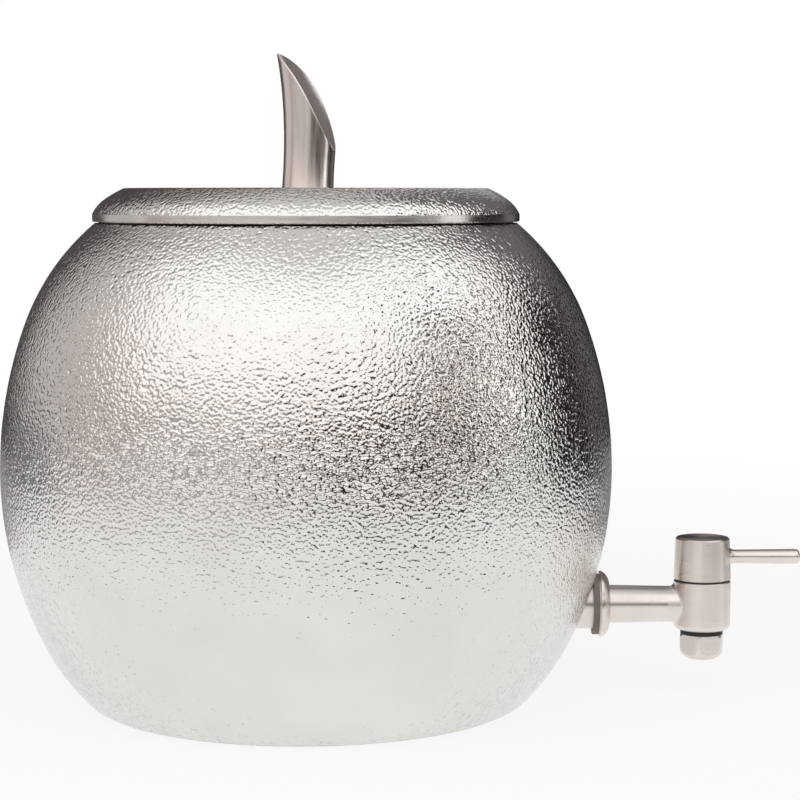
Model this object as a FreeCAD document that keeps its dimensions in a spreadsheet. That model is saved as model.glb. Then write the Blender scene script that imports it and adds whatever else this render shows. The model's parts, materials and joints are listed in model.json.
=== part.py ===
import FreeCAD, Part
import math
import os
import Sketcher

# Metal water dispenser: a round-bellied hammered jar with a lift-off lid, a horn finial and a
# quarter-turn tap. Millimetres. The origin is the centre of the jar's base, on the table, +Z is up and
# the tap points along +X. Heights on the tap are counted from the tap's own axis.

values = {
    # jar shell, outer form
    "jar_radius": 120.0,            # widest radius of the belly
    "belly_height": 91.8,           # height of the widest circle
    "jar_height": 188.3,
    "mouth_inset": 37.55,            # how far inside the belly the shoulder ends
    "shoulder_slope": 20.2,         # degrees that the wall leans where belly and shoulder arcs meet
    "mouth_slope": 50.0,            # degrees that the wall leans at the mouth
    "foot_inset": 34.45,             # how far inside the belly the foot ends
    "belly_slope": 27.3,            # degrees that the wall leans where belly and foot arcs meet
    "foot_slope": 47.3,             # degrees that the wall leans at the foot
    "jar_wall": 1.6,
    "foot_corner": 1.5,             # rounding of the bottom edge
    "foot_lip": 1.2,                # thickness of the lip turned in under the base disc
    "foot_lip_width": 4.4,
    # base disc, soldered on the foot's lip
    "base_thickness": 2.4,
    "disc_inset": 1.6,              # the disc's edge inside the foot's outer edge
    "solder_gap": 0.05,
    # stiffening ring soldered in the mouth, which the lid rests on
    "mouth_edge": 1.5,              # bare edge of the shell outside the ring
    "rim_ring_wall": 4.7,
    "rim_ring_depth": 6.0,
    "lid_gap": 0.5,                 # shadow gap between the jar's edge and the lid
    "rim_edge": 0.8,                # bevel that leads the collar in
    # lid
    "lip_overhang": 0.95,            # how far the lip stands out past the jar's mouth
    "lip_height": 2.9,
    "lip_bevel": 0.45,
    "lid_wall": 1.6,
    "lid_foot_slope": 23.9,         # degrees that the lid's wall leans at the lip
    "lid_break_slope": 53.5,        # degrees where its two arcs meet
    "lid_crown_slope": 66.6,        # degrees where the flat top starts
    "lid_top_inset": 12.4,          # edge of the flat top, inside the lip
    "lid_top_rise": 10.1,
    "collar_clearance": 0.5,
    "collar_wall": 1.2,
    "collar_depth": 8.0,
    # finial horn
    "horn_shift": 0.5,              # the horn's foot stands a little off the screw
    "horn_radius": 10.1,
    "horn_waist_height": 20.0,
    "horn_waist_shift": 1.55,
    "horn_waist_radius": 10.3,
    "horn_neck_height": 43.0,
    "horn_neck_shift": 1.35,
    "horn_neck_radius": 11.4,
    "horn_length": 71.5,            # blank, of which the scoop leaves the tip's height
    "horn_tip_shift": -5.8,
    "horn_tip_radius": 10.4,
    "scoop_radius": 19.0,           # hollow of the slanting cut, across it
    "scoop_turn": 11.9,             # degrees that the cut faces towards the front
    "scoop_lean": 30.4,             # degrees between the cut and the upright
    "scoop_height": 33.7,           # where the cut's middle line crosses the screw's axis
    "scoop_reach": 110.0,           # length of the cutter
    "horn_edge": 0.3,
    # finial screw and washer
    "screw_radius": 3.0,
    "screw_hold": 11.0,             # thread length inside the horn
    "screw_clearance": 0.2,
    "screw_head_radius": 5.5,
    "screw_head_height": 3.4,
    "screw_slot_half": 0.6,         # half the driver slot's width
    "screw_slot_depth": 1.2,
    "finial_washer_radius": 8.0,
    "washer_thickness": 1.0,
    # tap: where it stands and its boss
    "tap_height": 37.0,
    "boss_radius": 9.8,
    "boss_stand": 3.5,              # outer face past the jar's wall at the tap's height
    "boss_back_gap": 0.5,           # inner gasket's foot to the jar's sloping wall
    "valve_stand": 43.7,            # boss face to valve axis
    # threaded tail and what clamps it
    "tail_radius": 6.0,
    "tail_clearance": 0.1,
    "water_bore": 4.0,
    "thread_overrun": 3.0,
    "gasket_thickness": 2.3,
    "gasket_radius": 12.1,
    "gasket_relief": 0.05,          # left where the jar's wall presses the gasket
    "inner_gasket_thickness": 2.0,
    "inner_gasket_radius": 11.0,
    "lock_nut_half_flats": 9.5,
    "lock_nut_corner": 1.1,         # corners past the flats
    "lock_nut_thickness": 6.0,
    "lock_nut_bevel": 0.9,
    # flange and tube
    "flange_radius": 13.1,
    "flange_bevel": 0.3,
    "flange_edge": 1.1,             # back face to where the dome starts
    "flange_relief": 1.2,           # depth of the shadow groove between gasket and flange
    "flange_relief_width": 0.35,
    "flange_thickness": 4.3,
    "flange_dome_radius": 8.3,
    "flange_arc": 5.2,
    "tube_root_radius": 7.5,
    "tube_end_radius": 7.1,
    "stub_length": 3.0,
    "joint_radius": 5.5,            # spigot of the tube in the valve's stub
    "joint_depth": 4.0,
    "joint_clearance": 0.05,
    "braze_fillet": 1.8,
    # valve body
    "valve_radius": 11.25,
    "valve_rise": 9.5,
    "valve_drop": 10.0,
    "valve_edge": 2.6,
    "chamber_radius": 7.5,
    "chamber_drop": 7.0,
    "gland_radius": 8.5,
    "gland_seat_rise": 5.0,
    "neck_radius": 6.4,
    "neck_length": 7.8,
    "fit_clearance": 0.05,
    "thread_clearance": 0.1,
    # cartridge
    "seal_thickness": 1.2,
    "seal_bore": 4.9,
    "disc_radius": 5.5,
    "disc_thickness": 2.0,
    "disc_film": 0.03,              # water film between the ceramic discs
    "port_radius": 1.7,
    "port_land": 0.65,              # disc left outside a port
    "sleeve_roof_rise": 4.0,
    "sleeve_flange": 1.2,
    "sleeve_neck": 5.1,
    "window_radius": 2.4,
    "window_rise": 0.9,
    "gland_below_top": 0.1,
    "gland_slot": 2.0,
    "gland_slot_depth": 1.2,
    # spindle
    "spindle_radius": 3.0,
    "spindle_stem": 2.0,
    "spindle_collar": 4.6,
    "spindle_collar_height": 1.1,
    "tongue_half_width": 1.2,
    "tongue_half_length": 4.7,
    "tongue_height": 1.9,
    "tongue_depth": 0.7,
    "square_half_width": 2.05,
    "square_clearance": 0.05,
    "square_length": 11.0,
    "ring_section": 0.36,
    "ring_stand": 0.02,             # how far a ring stands out of its groove
    "ring_groove_half": 0.5,        # half the groove's width
    "ring_rise": 5.9,
    "ring_pitch": 2.0,
    # handle
    "seam_height": 0.7,
    "seam_film": 0.03,
    "seam_inset": 0.45,
    "seam_bevel": 0.3,              # on the edges that face each other across the seam
    "hub_height": 16.55,
    "hub_top_radius": 10.65,
    "hub_edge": 0.5,
    "grub_radius": 2.0,
    "grub_length": 8.0,
    "grub_rise": 16.0,
    "grub_key": 1.0,
    "grub_key_depth": 2.0,
    # lever
    "lever_rise": 19.05,
    "lever_root_radius": 2.7,
    "lever_end_radius": 2.95,
    "lever_reach": 38.5,            # valve axis to the rod's end
    "lever_round": 1.6,
    "lever_flare": 5.0,
    "lever_flare_length": 3.4,
    "lever_flare_sink": 1.6,        # how far in from the hub's face the flare starts
    "lever_flare_arc": 3.7,
    "lever_spigot_radius": 2.0,
    "lever_spigot_start": 4.5,
    # outlet
    "outlet_gasket_thickness": 1.8,
    "outlet_gasket_radius": 8.4,
    "nut_height": 9.8,
    "nut_half_flats": 8.05,
    "nut_corner": 1.2,              # corners past the flats
    "nut_top_bevel": 0.8,
    "nut_dome": 5.3,
    "nut_dome_arc": 6.0,
    "nut_foot_radius": 5.45,
    "nut_mouth": 4.6,
    "nut_ledge": 1.6,
    "nut_turn": 46.3,               # degrees from +X that the nut's first flat faces
    "straightener_thickness": 2.0,
    "straightener_hole": 0.8,
    "straightener_ring": 3.0,
    # cutting tools reach this far past what they cut
    "overshoot": 2.0,
}

doc = FreeCAD.newDocument("water_dispenser")
sheet = doc.addObject("Spreadsheet::Sheet", "sizes")
for row, (name, number) in enumerate(values.items(), start=1):
    sheet.set("A%d" % row, name)
    sheet.set("B%d" % row, str(number))
    sheet.setAlias("B%d" % row, name)
doc.recompute()

parts = []
# Reference dimensions of the jar's lower section that other pieces are placed by.
measured = {}
Z_AXIS = FreeCAD.Vector(0, 0, 1)


def bound(text):
    """A sum of size names as an expression on the sheet and on the jar's lower section."""
    homes = {word: "sizes." + word for word in values}
    homes.update({word: "lower_section.Constraints.%s / 1 mm" % word for word in measured})
    return " ".join(homes.get(word, word) for word in text.split())


def amount(text):
    """The same sum as a number."""
    total = 0.0
    sign = 1.0
    for word in text.split():
        if word in ("+", "-"):
            sign = 1.0 if word == "+" else -1.0
        else:
            total += sign * float(values.get(word, measured.get(word, word)))
    return total


def opposite(text):
    """The same sum with every sign turned."""
    turned = {"+": "-", "-": "+"}
    return "0 - " + " ".join(turned.get(word, word) for word in text.split())


def flat(x, y):
    return FreeCAD.Vector(x, y, 0)


def heading(start, end):
    return math.atan2(end.y - start.y, end.x - start.x)


def arc_about(centre, start, end, forward):
    """Arc from start to end, anticlockwise if forward; also says which end is its start."""
    first, last = (start, end) if forward else (end, start)
    circle = Part.Circle(centre, Z_AXIS, (start - centre).Length)
    arc = Part.ArcOfCircle(circle, heading(centre, first), heading(centre, last))
    return arc, (1, 2) if forward else (2, 1)


def centre_by_radius(start, end, radius, forward):
    middle = (start + end) * 0.5
    along = end - start
    rise = math.sqrt(max(radius ** 2 - (along.Length / 2) ** 2, 0.0))
    side = flat(-along.y, along.x).normalize()
    return middle + side * (rise if forward else -rise)


def arc_pair(start, end, slopes):
    """Two touching arcs, anticlockwise from start to end: first centre, second centre, their break.

    slopes are the angles of the outline's normal at the start, at the break and at the end.
    """
    angles = [math.radians(amount(slope)) for slope in slopes]
    first, middle, last = [flat(math.cos(angle), math.sin(angle)) for angle in angles]
    step = end - start
    near = middle - first
    far = last - middle
    spread = near.cross(far).z
    near_radius = step.cross(far).z / spread
    far_radius = near.cross(step).z / spread
    near_centre = start - first * near_radius
    return near_centre, end - last * far_radius, near_centre + middle * near_radius


def place_sketch(body, name, role="XZ_Plane", height=None, turn=None, shift=None):
    """New sketch on one of the body's own planes, lifted, shifted or turned by named sizes."""
    sketch = body.newObject("Sketcher::SketchObject", name)
    plane = [item for item in body.Origin.OriginFeatures if item.Role == role][0]
    sketch.AttachmentSupport = [(plane, "")]
    sketch.MapMode = "FlatFace"
    if turn:
        turned_to = FreeCAD.Rotation(Z_AXIS, amount(turn))
        sketch.AttachmentOffset = FreeCAD.Placement(FreeCAD.Vector(), turned_to)
        sketch.setExpression("AttachmentOffset.Rotation.Angle", bound(turn))
    if height:
        sketch.setExpression("AttachmentOffset.Base.z", bound(height))
    if shift:
        sketch.setExpression("AttachmentOffset.Base.x", bound(shift))
    return sketch


def pin_point(sketch, geometry, end, x, y, label):
    """Hold one end of a sketch line at two sums of sizes from the sketch's origin."""
    for kind, text, axis, name in (("DistanceX", x, -2, "x"), ("DistanceY", y, -1, "y")):
        if text is None:
            continue
        if text == "0":
            sketch.addConstraint(Sketcher.Constraint("PointOnObject", geometry, end, axis))
            continue
        rule = Sketcher.Constraint(kind, -1, 1, geometry, end, amount(text))
        number = sketch.addConstraint(rule)
        sketch.renameConstraint(number, name + str(label))
        sketch.setExpression("Constraints." + name + str(label), bound(text))


def hold_slope(sketch, arc, end, text, label):
    """Hold the outline's normal at one end of an arc at an angle from level."""
    line = Part.LineSegment(sketch.getPoint(arc, 3), sketch.getPoint(arc, end))
    spoke = sketch.addGeometry(line, True)
    sketch.addConstraint(Sketcher.Constraint("Coincident", spoke, 1, arc, 3))
    sketch.addConstraint(Sketcher.Constraint("Coincident", spoke, 2, arc, end))
    if text == "0":
        sketch.addConstraint(Sketcher.Constraint("Horizontal", spoke))
        return
    number = sketch.addConstraint(Sketcher.Constraint("Angle", spoke, math.radians(amount(text))))
    sketch.renameConstraint(number, "slope" + str(label))
    sketch.setExpression("Constraints.slope" + str(label), bound(text))


def measure(sketch, name, rule, number):
    """Reference dimension that other pieces can be placed by."""
    index = sketch.addConstraint(rule)
    sketch.renameConstraint(index, name)
    sketch.setDriving(index, False)
    measured[name] = number


def measure_reach(sketch, name, arc, centre, radius, height):
    """Reference dimension: how far out an arc of the section lies at a height."""
    reach = centre.x + math.sqrt(radius ** 2 - (amount(height) - centre.y) ** 2)
    point = sketch.addGeometry(Part.Point(flat(reach, amount(height))), True)
    sketch.addConstraint(Sketcher.Constraint("PointOnObject", point, 1, arc))
    pin_point(sketch, point, 1, None, height, "_" + name)
    measure(sketch, name, Sketcher.Constraint("DistanceX", -1, 1, point, 1, reach), reach)


def size_arc(sketch, geometry, text, label):
    number = sketch.addConstraint(Sketcher.Constraint("Radius", geometry, amount(text)))
    sketch.renameConstraint(number, "arc" + str(label))
    sketch.setExpression("Constraints.arc" + str(label), bound(text))


def draw_outline(sketch, corners, arcs=None):
    """Closed outline through corners, each a pair of sums of sizes.

    arcs maps a side's number to (radius, forward): that side is an arc, anticlockwise if forward.
    """
    arcs = arcs or {}
    points = [flat(amount(x), amount(y)) for x, y in corners]
    ends = []
    for side, start in enumerate(points):
        end = points[(side + 1) % len(points)]
        if side in arcs:
            radius, forward = arcs[side]
            centre = centre_by_radius(start, end, amount(radius), forward)
            curve, order = arc_about(centre, start, end, forward)
        else:
            curve, order = Part.LineSegment(start, end), (1, 2)
        sketch.addGeometry(curve, False)
        ends.append(order)
    for side, order in enumerate(ends):
        after = (side + 1) % len(ends)
        sketch.addConstraint(Sketcher.Constraint("Coincident", side, order[1], after, ends[after][0]))
    for side, (x, y) in enumerate(corners):
        pin_point(sketch, side, ends[side][0], x, y, side)
    for side, (radius, forward) in arcs.items():
        size_arc(sketch, side, radius, side)


def draw_circle(sketch, radius, x="0", y="0"):
    number = sketch.GeometryCount
    centre = flat(amount(x), amount(y))
    sketch.addGeometry(Part.Circle(centre, Z_AXIS, amount(radius)), False)
    if x == "0" and y == "0":
        sketch.addConstraint(Sketcher.Constraint("Coincident", number, 3, -1, 1))
    else:
        pin_point(sketch, number, 3, x, y, "c%d" % number)
    size_arc(sketch, number, radius, "c%d" % number)


def new_part(label, x=None, z=None):
    """Empty body that is placed by named sizes."""
    body = doc.addObject("PartDesign::Body", label)
    body.Label = label
    if x:
        body.setExpression("Placement.Base.x", bound(x))
    if z:
        body.setExpression("Placement.Base.z", bound(z))
    parts.append(body)
    return body


def revolve(body, sketch, axis="V_Axis"):
    turned = body.newObject("PartDesign::Revolution", body.Name + "_turned")
    turned.Profile = sketch
    turned.ReferenceAxis = (sketch, [axis])
    turned.Angle = 360
    sketch.Visibility = False
    return turned


def turned_part(label, corners, arcs=None, axis="V_Axis", x=None, z=None):
    """Body turned about its own upright (V_Axis) or about the tap's axis (H_Axis)."""
    body = new_part(label, x, z)
    sketch = place_sketch(body, label + "_section")
    draw_outline(sketch, corners, arcs)
    revolve(body, sketch, axis)
    return body


def ring_part(label, outer, inner, low, high, axis="V_Axis", x=None, z=None):
    """Plain turned ring between two radii and two heights."""
    corners = [(outer, low), (outer, high), (inner, high), (inner, low)]
    if axis == "H_Axis":
        corners = [(height, radius) for radius, height in corners]
    return turned_part(label, corners, None, axis, x, z)


def cut_pocket(body, sketch, name, length=None, flip=False, both=False):
    """Pocket of a sized length, or through everything."""
    pocket = body.newObject("PartDesign::Pocket", body.Name + "_" + name)
    pocket.Profile = sketch
    if length:
        pocket.Type = "Length"
        pocket.setExpression("Length", bound(length))
    else:
        pocket.Type = "ThroughAll"
    pocket.Midplane = both
    pocket.Reversed = flip
    return pocket


def repeat_round(body, feature, count, name, axis="Z_Axis"):
    """Copies of a feature round one of the body's axes."""
    pattern = body.newObject("PartDesign::PolarPattern", body.Name + "_" + name)
    pattern.Originals = [feature]
    line = [item for item in body.Origin.OriginFeatures if item.Role == axis][0]
    pattern.Axis = (line, [""])
    pattern.Angle = 360
    pattern.Occurrences = count
    body.Tip = pattern
    return pattern


def edges_where(feature, test):
    """Names of a feature's edges that pass a test on the edge."""
    doc.recompute()
    return ["Edge%d" % (i + 1) for i, edge in enumerate(feature.Shape.Edges) if test(edge)]


def ring_edge(radius, height):
    """Test for a full circle of a given radius at a given height of the body's own frame."""
    def test(edge):
        curve = edge.Curve
        return (isinstance(curve, Part.Circle) and abs(curve.Radius - radius) < 0.01
                and abs(curve.Center.z - height) < 0.01)
    return test


def edges_between(feature, first_radius, second_radius):
    """Names of the edges where two round faces of these radii meet."""
    doc.recompute()

    def round_faces(radius):
        return [face for face in feature.Shape.Faces if isinstance(face.Surface, Part.Cylinder)
                and abs(face.Surface.Radius - radius) < 0.01]

    seconds = [edge for face in round_faces(second_radius) for edge in face.Edges]
    firsts = [edge for face in round_faces(first_radius) for edge in face.Edges]
    shared = [edge for edge in firsts if any(edge.isSame(other) for other in seconds)]
    return ["Edge%d" % (i + 1) for i, edge in enumerate(feature.Shape.Edges)
            if any(edge.isSame(other) for other in shared)]


def dress(body, kind, name, base, edges, size):
    """Fillet or chamfer on named edges of the last feature."""
    feature = body.newObject("PartDesign::" + kind, body.Name + "_" + name)
    feature.Base = (base, edges)
    feature.setExpression("Radius" if kind == "Fillet" else "Size", bound(size))
    body.Tip = feature
    return feature


foot_radius = "jar_radius - foot_inset"
foot_lip_bore = foot_radius + " - foot_lip_width"
mouth_radius = "jar_radius - mouth_inset"
rim_ring_radius = mouth_radius + " - mouth_edge"
rim_ring_bore = rim_ring_radius + " - rim_ring_wall"


def draw_wall(sketch, start, end, slopes, wall, trims, end_corners=(), start_corners=()):
    """Section of a wall between two touching outer arcs and, about the same centres, two inner ones.

    The outer pair runs anticlockwise from start to end. Each trim is where the inner pair stops, as
    ("x" or "y", sum). The corners lead from the outer end to the inner one and, at the start, back again.
    """
    first, last = [flat(amount(x), amount(y)) for x, y in (start, end)]
    thickness = amount(wall)
    first_centre, last_centre, middle = arc_pair(first, last, slopes)

    def inner_end(centre, outer, trim):
        radius = (outer - centre).Length - thickness
        place = amount(trim[1])
        if trim[0] == "x":
            return flat(place, centre.y + math.sqrt(radius ** 2 - (place - centre.x) ** 2))
        return flat(centre.x + math.sqrt(radius ** 2 - (place - centre.y) ** 2), place)

    inner_first = inner_end(first_centre, first, trims[0])
    inner_last = inner_end(last_centre, last, trims[1])
    inner_middle = middle - (middle - first_centre).normalize() * thickness
    ends = []
    for centre, begin, finish, forward in (
        (first_centre, first, middle, True), (last_centre, middle, last, True),
        (last_centre, inner_last, inner_middle, False), (first_centre, inner_middle, inner_first, False),
    ):
        curve, order = arc_about(centre, begin, finish, forward)
        sketch.addGeometry(curve, False)
        ends.append(order)
    sketch.addConstraint(Sketcher.Constraint("Tangent", 0, ends[0][1], 1, ends[1][0]))
    sketch.addConstraint(Sketcher.Constraint("Tangent", 2, ends[2][1], 3, ends[3][0]))
    sketch.addConstraint(Sketcher.Constraint("Coincident", 2, 3, 1, 3))
    sketch.addConstraint(Sketcher.Constraint("Coincident", 3, 3, 0, 3))
    pin_point(sketch, 0, ends[0][0], start[0], start[1], "start")
    pin_point(sketch, 1, ends[1][1], end[0], end[1], "end")
    hold_slope(sketch, 0, ends[0][0], slopes[0], "start")
    hold_slope(sketch, 0, ends[0][1], slopes[1], "middle")
    hold_slope(sketch, 1, ends[1][1], slopes[2], "end")
    across = sketch.addConstraint(Sketcher.Constraint("Distance", 3, ends[3][0], 0, ends[0][1], thickness))
    sketch.renameConstraint(across, "wall")
    sketch.setExpression("Constraints.wall", bound(wall))
    for arc, end_used, (axis, place), label in (
        (3, ends[3][1], trims[0], "inner_start"), (2, ends[2][0], trims[1], "inner_end"),
    ):
        x, y = (place, None) if axis == "x" else (None, place)
        pin_point(sketch, arc, end_used, x, y, label)
    for arc, leaves, target, arrives, begin, finish, corners in (
        (1, ends[1][1], 2, ends[2][0], last, inner_last, end_corners),
        (3, ends[3][1], 0, ends[0][0], inner_first, first, start_corners),
    ):
        stops = [begin] + [flat(amount(x), amount(y)) for x, y in corners] + [finish]
        for number, (near, far) in enumerate(zip(stops, stops[1:])):
            line = sketch.addGeometry(Part.LineSegment(near, far), False)
            sketch.addConstraint(Sketcher.Constraint("Coincident", line, 1, arc, leaves))
            if number < len(corners):
                x, y = corners[number]
                pin_point(sketch, line, 2, x, y, "_%d_%d" % (arc, number))
            arc, leaves = line, 2
        sketch.addConstraint(Sketcher.Constraint("Coincident", arc, leaves, target, arrives))


# Jar: two spun halves soldered edge to edge at the belly, where the hammering hides the seam.
def jar_lower_shell():
    body = new_part("jar_lower_shell")
    sketch = place_sketch(body, "lower_section")
    slopes = ("0 - foot_slope", "0 - belly_slope", "0")
    draw_wall(sketch, (foot_radius, "0"), ("jar_radius", "belly_height"), slopes, "jar_wall",
              (("y", "foot_lip"), ("y", "belly_height")),
              start_corners=[(foot_lip_bore, "foot_lip"), (foot_lip_bore, "0")])
    outer, inner = 1, 2
    centre = sketch.getPoint(outer, 3)
    radius = values["jar_radius"] - centre.x
    measure(sketch, "low_belly_radius", Sketcher.Constraint("Radius", outer, radius), radius)
    measure_reach(sketch, "wall_reach", outer, centre, radius, "tap_height")
    measure_reach(sketch, "inner_wall_reach", inner, centre, radius - values["jar_wall"],
                  "tap_height - inner_gasket_radius")
    revolve(body, sketch)
    hole = place_sketch(body, "tap_hole", "YZ_Plane")
    draw_circle(hole, "boss_radius + solder_gap", "0", "tap_height")
    hole_cut = cut_pocket(body, hole, "tap_hole", "jar_radius", flip=True)
    edges = edges_where(hole_cut, ring_edge(amount(foot_radius), 0))
    dress(body, "Fillet", "foot_round", hole_cut, edges, "foot_corner")


def jar_upper_shell():
    body = new_part("jar_upper_shell")
    sketch = place_sketch(body, "upper_section")
    draw_wall(sketch, ("jar_radius", "belly_height"), (mouth_radius, "jar_height"),
              ("0", "shoulder_slope", "mouth_slope"), "jar_wall",
              (("y", "belly_height"), ("x", rim_ring_radius)), end_corners=[(rim_ring_radius, "jar_height")])
    revolve(body, sketch)


def base_disc():
    laps = foot_radius + " - disc_inset"
    plug = foot_lip_bore + " - solder_gap"
    turned_part("base_disc", [("0", "0"), (plug, "0"), (plug, "foot_lip"), (laps, "foot_lip"),
                              (laps, "base_thickness"), ("0", "base_thickness")])


def mouth_rim_ring():
    top = "jar_height + lid_gap"
    outer = rim_ring_radius + " - solder_gap"
    turned_part("mouth_rim_ring", [
        (outer, "jar_height - rim_ring_depth"), (outer, top), (rim_ring_bore + " + rim_edge", top),
        (rim_ring_bore, top + " - rim_edge"), (rim_ring_bore, "jar_height - rim_ring_depth"),
    ])


jar_lower_shell()
jar_upper_shell()
base_disc()
mouth_rim_ring()

# Places along the tap's axis, from the jar's axis outwards.
boss_back = "inner_wall_reach - boss_back_gap"
boss_face = "wall_reach + boss_stand"
valve_axis = boss_face + " + valve_stand"
hole_round_tail = "tail_radius + tail_clearance"

ring_part("tap_boss", "boss_radius", hole_round_tail, boss_back, boss_face, "H_Axis", z="tap_height")


# Lid: lip band, locating collar and the hammered cap, all soldered together.
seat_height = "jar_height + lid_gap"
collar_outer = rim_ring_bore + " - collar_clearance"
lip_radius = mouth_radius + " + lip_overhang"


def lid_rim_band():
    inner = collar_outer + " + solder_gap"
    turned_part("lid_rim_band", [
        (lip_radius + " - lip_bevel", "0"), (lip_radius, "lip_bevel"), (lip_radius, "lip_height"),
        (inner, "lip_height"), (inner, "0"),
    ], z=seat_height)


def lid_shell():
    body = new_part("lid_shell", z=seat_height + " + lip_height")
    sketch = place_sketch(body, "lid_section")
    hole = "screw_radius + screw_clearance"
    ceiling = "lid_top_rise - lid_wall"
    draw_wall(sketch, (lip_radius, "0"), (lip_radius + " - lid_top_inset", "lid_top_rise"),
              ("lid_foot_slope", "lid_break_slope", "lid_crown_slope"), "lid_wall",
              (("y", "0"), ("y", ceiling)), end_corners=[(hole, "lid_top_rise"), (hole, ceiling)])
    revolve(body, sketch)


lid_rim_band()
ring_part("lid_inner_collar", collar_outer, collar_outer + " - collar_wall", "0 - collar_depth", "lip_height",
          z=seat_height)
lid_shell()


# Finial: a leaning horn lofted through four circles, then scooped by a slanting round cutter.
lid_top = seat_height + " + lip_height + lid_top_rise"


def finial_horn():
    body = new_part("finial_horn", z=lid_top)
    stations = (
        ("foot", None, "horn_shift", "horn_radius"),
        ("waist", "horn_waist_height", "horn_waist_shift", "horn_waist_radius"),
        ("neck", "horn_neck_height", "horn_neck_shift", "horn_neck_radius"),
        ("end", "horn_length", "horn_tip_shift", "horn_tip_radius"),
    )
    circles = []
    for name, height, shift, radius in stations:
        sketch = place_sketch(body, "horn_" + name, "XY_Plane", height=height, shift=shift)
        draw_circle(sketch, radius)
        circles.append(sketch)
    horn = body.newObject("PartDesign::AdditiveLoft", "horn_loft")
    horn.Profile = circles[0]
    horn.Sections = circles[1:]
    scoop = body.newObject("PartDesign::SubtractiveCylinder", "horn_scoop")
    scoop.setExpression("Radius", bound("scoop_radius"))
    scoop.setExpression("Height", bound("scoop_reach"))
    # The cutter is turned to the front, leant over at the crossing and set back by its own radius.
    scoop.setExpression("Placement", " * ".join((
        "placement(vector(0; 0; 0); rotation(vector(0; 0; 1); -sizes.scoop_turn))",
        "placement(vector(0; 0; sizes.scoop_height); rotation(vector(0; 1; 0); -sizes.scoop_lean))",
        "placement(vector(sizes.scoop_radius; 0; -sizes.scoop_reach / 2); rotation(vector(0; 0; 1); 0))",
    )))
    doc.recompute()

    def on_scoop(edge):
        hollow = [face for face in scoop.Shape.Faces if isinstance(face.Surface, Part.Cylinder)
                  and abs(face.Surface.Radius - values["scoop_radius"]) < 0.01]
        return any(edge.isSame(other) for face in hollow for other in face.Edges)

    edges = edges_where(scoop, on_scoop)
    dress(body, "Fillet", "edge_round", scoop, edges, "horn_edge")
    bore = place_sketch(body, "horn_bore", "XY_Plane")
    draw_circle(bore, "screw_radius + thread_clearance")
    cut_pocket(body, bore, "screw_bore", "screw_hold + overshoot", flip=True)


def finial_screw():
    head_top = "0 - lid_wall - washer_thickness"
    head_low = head_top + " - screw_head_height"
    body = turned_part("finial_screw", [
        ("0", head_low), ("screw_head_radius", head_low), ("screw_head_radius", head_top),
        ("screw_radius", head_top), ("screw_radius", "screw_hold"), ("0", "screw_hold"),
    ], z=lid_top)
    low = place_sketch(body, "slot", "XY_Plane", height=head_low)
    wide = "screw_head_radius + overshoot"
    half = "screw_slot_half"
    draw_outline(low, [(opposite(wide), opposite(half)), (wide, opposite(half)), (wide, half),
                       (opposite(wide), half)])
    cut_pocket(body, low, "driver_slot", "screw_slot_depth", flip=True)


finial_horn()
finial_screw()
ring_part("finial_washer", "finial_washer_radius", "screw_radius + screw_clearance",
          "0 - lid_wall - washer_thickness", "0 - lid_wall", z=lid_top)


# Tap shank: threaded tail, domed flange and tube, turned in one piece along the tap's axis.
flange_face = boss_face + " + gasket_thickness"
stub_end = valve_axis + " - valve_radius - stub_length"
clamp_end = boss_back + " - inner_gasket_thickness - washer_thickness - lock_nut_thickness"


def tap_shank():
    tail_end = clamp_end + " - thread_overrun"
    spigot_end = stub_end + " + joint_depth - joint_clearance"
    rim_back = flange_face + " + flange_relief_width"
    corners = [
        (tail_end, "water_bore"), (spigot_end, "water_bore"), (spigot_end, "joint_radius - joint_clearance"),
        (stub_end, "joint_radius - joint_clearance"), (stub_end, "tube_end_radius"),
        (flange_face + " + flange_thickness", "tube_root_radius"),
        (flange_face + " + flange_thickness", "flange_dome_radius"),
        (flange_face + " + flange_edge", "flange_radius"), (rim_back + " + flange_bevel", "flange_radius"),
        (rim_back, "flange_radius - flange_bevel"), (rim_back, "flange_radius - flange_relief"),
        (flange_face, "flange_radius - flange_relief"), (flange_face, "tail_radius"),
        (tail_end, "tail_radius"),
    ]
    turned_part("tap_shank", corners, {6: ("flange_arc", True)}, "H_Axis", z="tap_height")


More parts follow.
